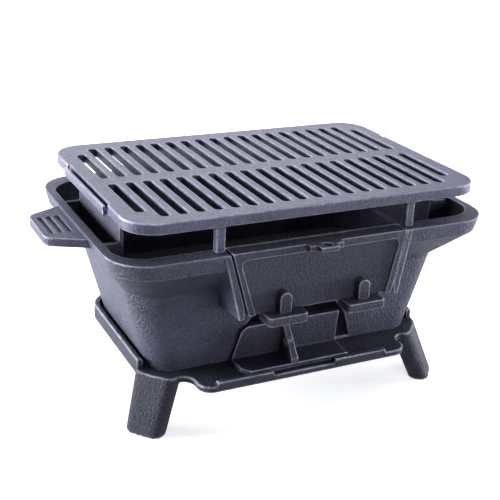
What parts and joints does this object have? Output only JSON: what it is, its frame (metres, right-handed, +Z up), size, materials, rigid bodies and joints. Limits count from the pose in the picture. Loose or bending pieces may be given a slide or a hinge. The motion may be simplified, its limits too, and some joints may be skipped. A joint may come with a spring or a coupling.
{
  "type": "hibachi grill",
  "caption": "Cast-iron table-top charcoal grill: tapered fire bowl on a footed tray, flip-down front door, sliding draft door, lift-out grates.",
  "frame": {"origin": "on the ground, in the middle of the whole grill's length and depth", "axes": "+X to the right along the long side, +Y to the back, +Z up; the doors are on the -Y side"},
  "size_m": [0.496, 0.301, 0.2375],
  "materials": {
    "stand_iron": "sand-cast iron with a dark seasoned surface and a fine grain",
    "bowl_iron": "sand-cast iron with a dark seasoned surface and a fine grain",
    "grate_iron": "sand-cast iron, seasoned, with a slight sheen on the flat top",
    "coal_grate_iron": "sand-cast iron, dark and dull",
    "door_iron": "sand-cast iron with a dark seasoned surface and a fine grain",
    "bolt_steel": "dull zinc-plated steel"
  },
  "bodies": {
    "base": {"stand": "stand_iron", "firebowl": "bowl_iron", "bowl_bolts": "bolt_steel", "bolt_washers": "bolt_steel", "wing_nuts": "bolt_steel"},
    "cooking_grate": {"cooking_grate": "grate_iron"},
    "charcoal_grate": {"charcoal_grate": "coal_grate_iron"},
    "front_door": {"front_door": "door_iron"},
    "draft_door": {"draft_door": "door_iron"}
  },
  "joints": [
    {"name": "cooking_grate_lift", "type": "slide", "parent": "base", "child": "cooking_grate", "axis": [0, 0, 1], "range_m": [0, 0.12]},
    {"name": "charcoal_grate_lift", "type": "slide", "parent": "base", "child": "charcoal_grate", "axis": [0, 0, 1], "range_m": [0, 0.09]},
    {"name": "front_door_hinge", "type": "hinge", "parent": "base", "child": "front_door", "pos_m": [0, -0.129, 0.141], "axis": [1, 0, 0], "range_deg": [0, 95]},
    {"name": "draft_door_slide", "type": "slide", "parent": "base", "child": "draft_door", "axis": [1, 0, 0], "range_m": [-0.035, 0.062]}
  ]
}
